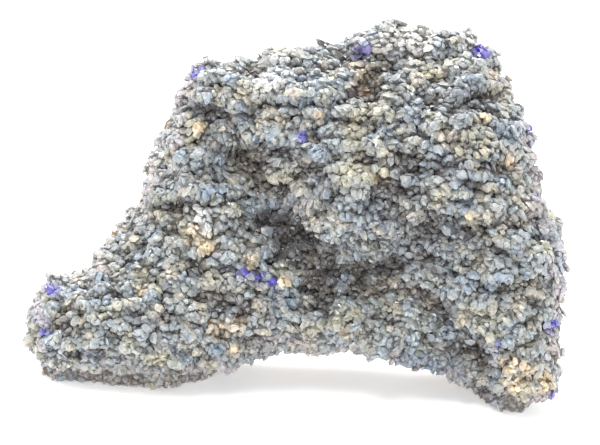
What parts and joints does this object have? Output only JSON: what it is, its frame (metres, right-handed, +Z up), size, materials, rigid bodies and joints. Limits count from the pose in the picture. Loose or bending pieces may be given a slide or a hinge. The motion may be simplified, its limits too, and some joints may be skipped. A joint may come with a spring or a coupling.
{
  "type": "azurite specimen",
  "caption": "Hand-sized lump of brown limonitic rock standing on two feet, its face, top and sides crusted with small lens-shaped azurite crystals.",
  "frame": {"origin": "on the resting plane, under the middle of the specimen's box", "axes": "+X to the right along the crystal face, +Y to the back, away from the crystal face, +Z up"},
  "size_m": [0.081, 0.0414, 0.0547],
  "materials": {
    "limonite": "rough earthy brown rock",
    "azurite": "dull grey-blue crystal plates with glints"
  },
  "bodies": {
    "root": {"host_rock": "limonite", "azurite_druse": "azurite"}
  },
  "joints": []
}
